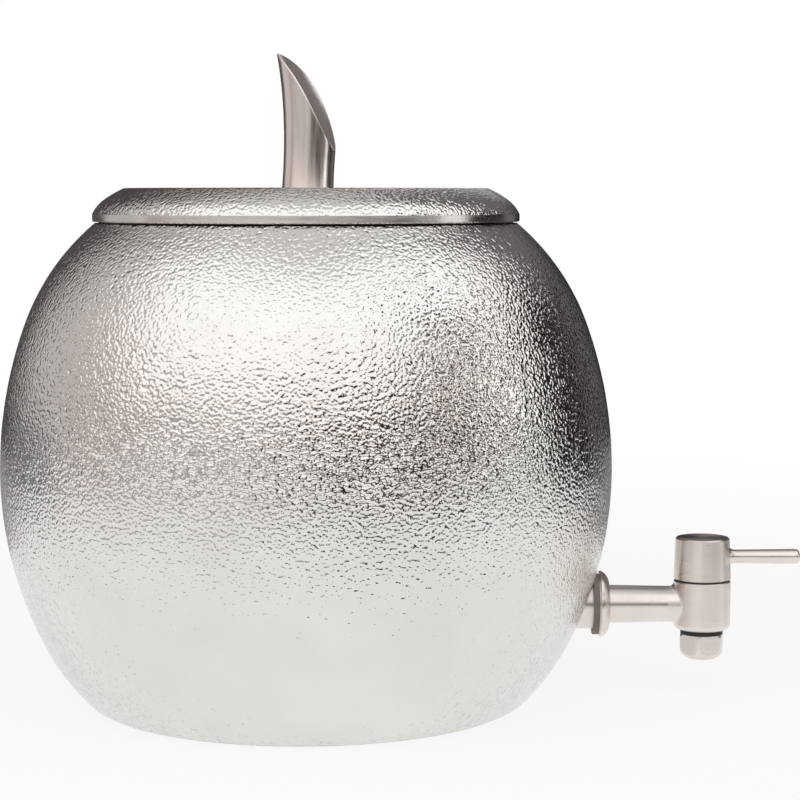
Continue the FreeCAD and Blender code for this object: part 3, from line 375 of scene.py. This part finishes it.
# Turns a section round Z and sinks the hammer's shallow hollows into its outer side.
def shellTree():
    tree = bpy.data.node_groups.new("hammeredShell", "GeometryNodeTree")
    face = tree.interface
    face.new_socket("Geometry", in_out="INPUT", socket_type="NodeSocketGeometry")
    face.new_socket("Steps", in_out="INPUT", socket_type="NodeSocketInt")
    for name, start in hollows.items():
        face.new_socket(name, in_out="INPUT", socket_type="NodeSocketFloat").default_value = start
    face.new_socket("Metal", in_out="INPUT", socket_type="NodeSocketMaterial")
    face.new_socket("Geometry", in_out="OUTPUT", socket_type="NodeSocketGeometry")
    given = addNode(tree, "NodeGroupInput").outputs
    toCurve = addNode(tree, "GeometryNodeMeshToCurve")
    path = addNode(tree, "GeometryNodeCurvePrimitiveCircle")
    path.inputs["Radius"].default_value = pathRadius
    turned = addNode(tree, "GeometryNodeCurveToMesh")
    wire(tree, given["Geometry"], toCurve.inputs["Mesh"])
    wire(tree, given["Steps"], path.inputs["Resolution"])
    wire(tree, path.outputs["Curve"], turned.inputs["Curve"])
    wire(tree, toCurve.outputs["Curve"], turned.inputs["Profile Curve"])
    outwards = addNode(tree, "GeometryNodeFlipFaces")  # the section's turning leaves the faces inside out
    wire(tree, turned.outputs["Mesh"], outwards.inputs["Mesh"])
    noise = addNode(tree, "ShaderNodeTexNoise", noise_dimensions="4D")
    noise.inputs["Detail"].default_value = 1.5
    wire(tree, calc(tree, "DIVIDE", 1.0, given["Hollow Pitch"]), noise.inputs["Scale"])
    wire(tree, given["Seed"], noise.inputs["W"])
    # the hollows fade out towards the seam, so that the two halves meet
    place = addNode(tree, "ShaderNodeSeparateXYZ")
    wire(tree, addNode(tree, "GeometryNodeInputPosition").outputs[0], place.inputs[0])
    fromSeam = calc(tree, "ABSOLUTE", calc(tree, "SUBTRACT", place.outputs["Z"], given["Seam Height"]))
    fade = calc(tree, "MINIMUM", calc(tree, "DIVIDE", fromSeam, given["Seam Fade"]), 1.0)
    side = addNode(tree, "GeometryNodeInputNamedAttribute", data_type="FLOAT")
    side.inputs["Name"].default_value = "outerSide"
    depth = calc(tree, "MULTIPLY", calc(tree, "MULTIPLY", noise.outputs[0], given["Hollow Depth"]),
                 calc(tree, "MULTIPLY", fade, side.outputs[0]))
    sink = addNode(tree, "ShaderNodeVectorMath", operation="SCALE")
    wire(tree, addNode(tree, "GeometryNodeInputNormal").outputs[0], sink.inputs[0])
    wire(tree, calc(tree, "MULTIPLY", depth, -1.0), sink.inputs["Scale"])
    moved = addNode(tree, "GeometryNodeSetPosition")
    wire(tree, outwards.outputs["Mesh"], moved.inputs["Geometry"])
    wire(tree, sink.outputs[0], moved.inputs["Offset"])
    smooth = addNode(tree, "GeometryNodeSetShadeSmooth")
    wire(tree, moved.outputs[0], smooth.inputs["Geometry"])
    real = addNode(tree, "GeometryNodeRealizeInstances")
    wire(tree, smooth.outputs[0], real.inputs[0])
    finished = addNode(tree, "GeometryNodeSetMaterial")
    wire(tree, real.outputs[0], finished.inputs["Geometry"])
    wire(tree, given["Metal"], finished.inputs["Material"])
    wire(tree, finished.outputs[0], addNode(tree, "NodeGroupOutput").inputs[0])
    return tree


def socketId(tree, name):
    return next(item.identifier for item in tree.interface.items_tree
                if item.name == name and item.in_out == "INPUT")


def finishedMesh(piece):
    graph = bpy.context.evaluated_depsgraph_get()
    return bpy.data.meshes.new_from_object(piece.evaluated_get(graph))


def turnShell(title, section, tree, **settings):
    modifier = section.modifiers.new("hammering", "NODES")
    modifier.node_group = tree
    modifier[socketId(tree, "Metal")] = finishes["hammered_metal"]
    for name, setting in settings.items():
        modifier[socketId(tree, name)] = setting
    piece = bpy.data.objects.new(title, finishedMesh(section))
    bpy.data.objects.remove(section)
    scene.collection.objects.link(piece)
    return piece


# Finishes a shell: hard edges where the wall turns its corners, and its place in the model.
def settleShell(piece, body, node):
    shape = bmesh.new()
    shape.from_mesh(piece.data)
    for edge in shape.edges:
        edge.smooth = edge.calc_face_angle(0) < sharpAngle
    shape.to_mesh(piece.data)
    print(piece.name, "volume", round(shape.calc_volume(signed=True) * 1e6, 1), "cm3,",
          sum(len(face.verts) - 2 for face in shape.faces), "triangles")
    shape.free()
    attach(piece, body)
    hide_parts(node)


jarForm = {
    "radius": 120 * mm, "belly": 91.8 * mm, "height": 188.3 * mm, "wall": 1.6 * mm,
    "mouthInset": 37.55 * mm, "footInset": 34.45 * mm,
    "shoulder": (0.0, 20.2, 50.0), "foot": (-47.3, -27.3, 0.0),  # the wall's lean, in degrees
    "ringBore": 80.95 * mm,
    "footLip": 1.2 * mm, "lipBore": 81.15 * mm,
    "footCorner": 1.5 * mm, "cornerInset": 1.2 * mm,
    "outerPitch": 1.25 * mm, "innerPitch": 3 * mm, "steps": 600,
    "tapHeight": 37 * mm, "tapHole": 9.85 * mm, "drillSides": 96,
}


# Cuts the round hole that the tap's boss is soldered into.
def drillTapHole(shell):
    form = jarForm
    drill = bpy.data.meshes.new("drill")
    shape = bmesh.new()
    bmesh.ops.create_cone(shape, cap_ends=True, segments=form["drillSides"], depth=form["radius"],
                          radius1=form["tapHole"], radius2=form["tapHole"])
    shape.to_mesh(drill)
    shape.free()
    cutter = bpy.data.objects.new("drill", drill)
    scene.collection.objects.link(cutter)
    cutter.rotation_euler = (0, math.radians(90), 0)
    cutter.location = (form["radius"], 0, form["tapHeight"])
    cut = shell.modifiers.new("tapHole", "BOOLEAN")
    cut.operation = "DIFFERENCE"
    cut.solver = "EXACT"
    cut.object = cutter
    bpy.context.view_layer.update()
    shell.data = finishedMesh(shell)
    shell.modifiers.clear()
    bpy.data.objects.remove(cutter)


def jarShells(tree):
    form = jarForm
    belly = Vector((form["radius"], form["belly"]))
    mouth = Vector((form["radius"] - form["mouthInset"], form["height"]))
    foot = Vector((form["radius"] - form["footInset"], 0))
    outer = wallPoints(belly, mouth, form["shoulder"], form["outerPitch"])
    inner = wallPoints(belly, mouth, form["shoulder"], form["innerPitch"], form["wall"])
    inner = [(r, z) for r, z in inner if r > form["ringBore"]]
    lip = [(form["ringBore"], form["height"]), (form["ringBore"], inner[-1][1])]
    section = sectionLoop("upperSection", outer, lip + inner[::-1])
    settleShell(turnShell("hammeredUpperShell", section, tree, Steps=form["steps"]), "jar", "jar_upper_shell")
    outer = wallPoints(foot, belly, form["foot"], form["outerPitch"])
    outer = [(r, z) for r, z in outer if z > form["footCorner"]]
    inner = wallPoints(foot, belly, form["foot"], form["innerPitch"], form["wall"])
    inner = [(r, z) for r, z in inner if z > form["footLip"]]
    lip = [(inner[0][0], form["footLip"]), (form["lipBore"], form["footLip"]), (form["lipBore"], 0),
           (foot.x - form["cornerInset"], 0)]
    section = sectionLoop("lowerSection", outer, inner[::-1] + lip)
    lower = turnShell("hammeredLowerShell", section, tree, Steps=form["steps"])
    drillTapHole(lower)
    settleShell(lower, "jar", "jar_lower_shell")


lidForm = {
    "foot": 83.4 * mm, "low": 191.7 * mm, "rise": 10.1 * mm, "topInset": 12.4 * mm, "wall": 1.6 * mm,
    "slopes": (23.9, 53.5, 66.6), "hole": 3.2 * mm, "cornerStep": 0.5 * mm,
    "wallPitch": 1.1 * mm, "topPitch": 1.6 * mm, "steps": 440, "seed": 8.0,
}


def lidShell(tree):
    form = lidForm
    start = Vector((form["foot"], form["low"]))
    end = Vector((form["foot"] - form["topInset"], form["low"] + form["rise"]))
    outer = wallPoints(start, end, form["slopes"], form["wallPitch"])
    count = round((end.x - form["hole"]) / form["topPitch"])
    outer += [(end.x + (form["hole"] - end.x) * step / count, end.y) for step in range(1, count + 1)]
    ceiling = end.y - form["wall"]
    inner = wallPoints(start, end, form["slopes"], form["wallPitch"] * 2, form["wall"])
    inner = [(r, z) for r, z in inner if form["low"] < z < ceiling]
    corner = form["cornerStep"]
    rest = [(form["hole"], ceiling), (inner[-1][0] - corner, ceiling)] + inner[::-1]
    section = sectionLoop("lidSection", outer, rest + [(inner[0][0] + corner, form["low"])])
    lid = turnShell("hammeredLid", section, tree, Steps=form["steps"], Seed=form["seed"])
    settleShell(lid, "lid", "lid_shell")


hammering = shellTree()
jarShells(hammering)
lidShell(hammering)
print("hammered shells ready")


# Studio: white all round, one soft lamp above the camera, and cloths hung on round rails, which only the
# metal's reflections see. Angles run from the camera's side (0) towards the tap (90).
# The shades of the ceiling and of most cloths come from another program, which fitted them to the tones of
# the metal in the photograph. Those of hubShade, limbFoot, limbGap and the skirts were set one by one.
studio = {
    "paper": 0.92,
    "shadowShare": 0.15,
    "shadowNear": 0.35,
    "shadowFar": 0.9,
    "skyShare": 0.55,
    "softbox": {"turn": -6, "rise": 44, "reach": 1.3, "width": 2.2, "height": 1.0, "radiance": 1.2},
    "frontRail": 1.0,
    "backRail": 0.6,
    "skirtRail": 0.36,
    "ceiling": {"radius": 3.0, "high": 2.5, "shade": (0.70, 0.69, 0.69)},
}
darkFelt, greyFelt, glowPaper = (0.02, 0.015, 0.015), (0.16, 0.15, 0.15), (1.35, 1.34, 1.32)
frontCloths = {
    "softWall": {"from": -75, "to": 45, "low": 0.40, "high": 2.5, "shade": (1.24, 1.24, 1.25)},
    "softWallLeft": {"from": -90, "to": -75, "low": 0.85, "high": 2.5, "shade": (1.22, 1.24, 1.25)},
    "softWallRight": {"from": 45, "to": 90, "low": 0.85, "high": 2.5, "shade": (1.26, 1.28, 1.29)},
    "leftShade": {"from": -90, "to": -75, "low": 0, "high": 0.85, "shade": (0.45, 0.36, 0.34)},
    "lowLeft": {"from": -75, "to": 0, "low": 0, "high": 0.25, "shade": (0.42, 0.41, 0.41)},
    "lowBright": {"from": -75, "to": 45, "low": 0.25, "high": 0.40, "shade": (0.86, 0.77, 0.73)},
    "lowRight": {"from": 0, "to": 60, "low": 0, "high": 0.25, "shade": darkFelt},
    "lowFarRight": {"from": 60, "to": 90, "low": 0, "high": 0.12, "shade": darkFelt},
    "rightCloth": {"from": 45, "to": 60, "low": 0.25, "high": 0.60, "shade": (0.53, 0.48, 0.46)},
    "rightVeil": {"from": 45, "to": 75, "low": 0.60, "high": 0.85, "shade": darkFelt},
    "rightStrip": {"from": 60, "to": 75, "low": 0.40, "high": 0.60, "shade": darkFelt},
    "lowStrip": {"from": 60, "to": 75, "low": 0.12, "high": 0.25, "shade": darkFelt},
    "glowBand": {"from": 60, "to": 75, "low": 0.25, "high": 0.40, "shade": glowPaper},
    "rightGlow": {"from": 75, "to": 90, "low": 0.12, "high": 0.60, "shade": glowPaper},
    "rightHigh": {"from": 75, "to": 90, "low": 0.60, "high": 0.85, "shade": (1.05, 0.88, 0.92)},
}
backCloths = {
    "sideCloth": {"from": 90, "to": 126, "low": 0, "high": 0.45, "shade": darkFelt},
    "sideGlow": {"from": 90, "to": 108, "low": 0.45, "high": 1.5, "shade": (1.3, 1.3, 1.3)},
    "backHigh": {"from": 108, "to": 162, "low": 0.45, "high": 1.5, "shade": greyFelt},
    "backCloth": {"from": 126, "to": 144, "low": 0, "high": 0.45, "shade": greyFelt},
    "hubShade": {"from": 144, "to": 162, "low": 0, "high": 0.30, "shade": (0.014, 0.012, 0.018)},
    "backGap": {"from": 144, "to": 162, "low": 0.30, "high": 0.45, "shade": greyFelt},
    "limbFoot": {"from": 162, "to": 180, "low": 0, "high": 0.28, "shade": (0.05, 0.05, 0.06)},
    "limbGap": {"from": 162, "to": 180, "low": 0.28, "high": 0.78, "shade": (0.60, 0.60, 0.62)},
    "rearCloth": {"from": 180, "to": 234, "low": 0, "high": 0.78, "shade": (0.08, 0.07, 0.07)},
    "rearHigh": {"from": 162, "to": 234, "low": 0.78, "high": 1.5, "shade": (0.35, 0.34, 0.33)},
    "leftFoot": {"from": 234, "to": 270, "low": 0, "high": 0.12, "shade": (0.19, 0.19, 0.20)},
    "leftBack": {"from": 234, "to": 270, "low": 0.12, "high": 0.78, "shade": (0.58, 0.56, 0.55)},
    "leftHigh": {"from": 234, "to": 270, "low": 0.78, "high": 1.5, "shade": (0.50, 0.47, 0.47)},
}
skirts = {
    "leftSkirt": {"from": 198, "to": 240, "low": 0, "high": 0.07, "shade": (0.36, 0.34, 0.34)},
    "rightSkirt": {"from": 120, "to": 162, "low": 0, "high": 0.07, "shade": (0.28, 0.27, 0.28)},
}


def emptyMaterial(title):
    material = bpy.data.materials.new(title)
    material.use_nodes = True
    material.node_tree.nodes.clear()
    return material, material.node_tree


def emission(tree, colour):
    glow = addNode(tree, "ShaderNodeEmission")
    glow.inputs["Color"].default_value = (*colour, 1)
    return glow.outputs[0]


# 1 for camera, glossy and transmission rays, 0 for the light that falls on matt surfaces.
def directlySeen(tree):
    rays = addNode(tree, "ShaderNodeLightPath").outputs
    seen = calc(tree, "MAXIMUM", rays["Is Camera Ray"], rays["Is Glossy Ray"])
    return calc(tree, "MAXIMUM", seen, rays["Is Transmission Ray"])


def whiteWorld():
    world = bpy.data.worlds.new("studioWorld")
    scene.world = world
    world.use_nodes = True
    tree = world.node_tree
    tree.nodes.clear()
    white = addNode(tree, "ShaderNodeBackground")
    white.inputs["Color"].default_value = (1, 1, 1, 1)
    wire(tree, calc(tree, "MAXIMUM", directlySeen(tree), studio["skyShare"]), white.inputs["Strength"])
    wire(tree, white.outputs[0], addNode(tree, "ShaderNodeOutputWorld").inputs["Surface"])


def stagePiece(title, corners, faces, material):
    mesh = bpy.data.meshes.new(title)
    mesh.from_pydata(corners, [], faces)
    mesh.materials.append(material)
    piece = bpy.data.objects.new(title, mesh)
    scene.collection.objects.link(piece)
    return piece


def floor():
    material, tree = emptyMaterial("floorPaper")
    paper = addNode(tree, "ShaderNodeBsdfDiffuse")
    paper.inputs["Color"].default_value = (studio["paper"],) * 3 + (1,)
    # the object's shadow shows near it, and further off the paper is plain white
    away = addNode(tree, "ShaderNodeVectorMath", operation="LENGTH")
    wire(tree, patternSpace(tree), away.inputs[0])
    fade = addNode(tree, "ShaderNodeMapRange")
    fade.inputs["From Min"].default_value = studio["shadowNear"]
    fade.inputs["From Max"].default_value = studio["shadowFar"]
    fade.inputs["To Min"].default_value = 1 - studio["shadowShare"]
    wire(tree, away.outputs["Value"], fade.inputs["Value"])
    blend = addNode(tree, "ShaderNodeMixShader")
    wire(tree, calc(tree, "MULTIPLY", directlySeen(tree), fade.outputs["Result"]), blend.inputs[0])
    wire(tree, paper.outputs[0], blend.inputs[1])
    wire(tree, emission(tree, (1, 1, 1)), blend.inputs[2])
    wire(tree, blend.outputs[0], addNode(tree, "ShaderNodeOutputMaterial").inputs["Surface"])
    half, level = 4.0, -0.2 * mm
    corners = [(-half, -half, level), (half, -half, level), (half, half, level), (-half, half, level)]
    stagePiece("studioFloor", corners, [(0, 1, 2, 3)], material)


def reflectedOnly(piece):
    for ray in ("camera", "diffuse", "transmission", "volume_scatter", "shadow"):
        setattr(piece, "visible_" + ray, False)


def clothMaterial(title, shade):
    material, tree = emptyMaterial(title)
    wire(tree, emission(tree, shade), addNode(tree, "ShaderNodeOutputMaterial").inputs["Surface"])
    return material


def hangCloth(title, size, radius, steps=12):
    corners, faces = [], []
    for step in range(steps + 1):
        angle = math.radians(size["from"] + (size["to"] - size["from"]) * step / steps)
        for z in (size["low"], size["high"]):
            corners.append((radius * math.sin(angle), -radius * math.cos(angle), z))
        if step:
            faces.append((2 * step - 2, 2 * step, 2 * step + 1, 2 * step - 1))
    reflectedOnly(stagePiece(title, corners, faces, clothMaterial(title, size["shade"])))


def hangCeiling(steps=48):
    size = studio["ceiling"]
    corners = []
    for step in range(steps):
        angle = math.tau * step / steps
        corners.append((size["radius"] * math.cos(angle), size["radius"] * math.sin(angle), size["high"]))
    reflectedOnly(stagePiece("ceiling", corners, [range(steps)], clothMaterial("ceiling", size["shade"])))


def hangSoftbox(target=Vector((0, 0, 0.1))):
    size = studio["softbox"]
    turn, rise = math.radians(size["turn"]), math.radians(size["rise"])
    lamp = bpy.data.lights.new("softbox", "AREA")
    lamp.shape = "RECTANGLE"
    lamp.size, lamp.size_y = size["width"], size["height"]
    lamp.energy = size["radiance"] * math.pi * size["width"] * size["height"]
    away = Vector((math.sin(turn) * math.cos(rise), -math.cos(turn) * math.cos(rise), math.sin(rise)))
    holder = bpy.data.objects.new("softbox", lamp)
    holder.location = target + away * size["reach"]
    holder.rotation_euler = (-away).to_track_quat("-Z", "Y").to_euler()
    holder.visible_camera = False
    holder.visible_glossy = False
    scene.collection.objects.link(holder)


whiteWorld()
floor()
for title, size in frontCloths.items():
    hangCloth(title, size, studio["frontRail"])
for title, size in backCloths.items():
    hangCloth(title, size, studio["backRail"])
for title, size in skirts.items():
    hangCloth(title, size, studio["skirtRail"])
hangCeiling()
hangSoftbox()
print("studio ready")
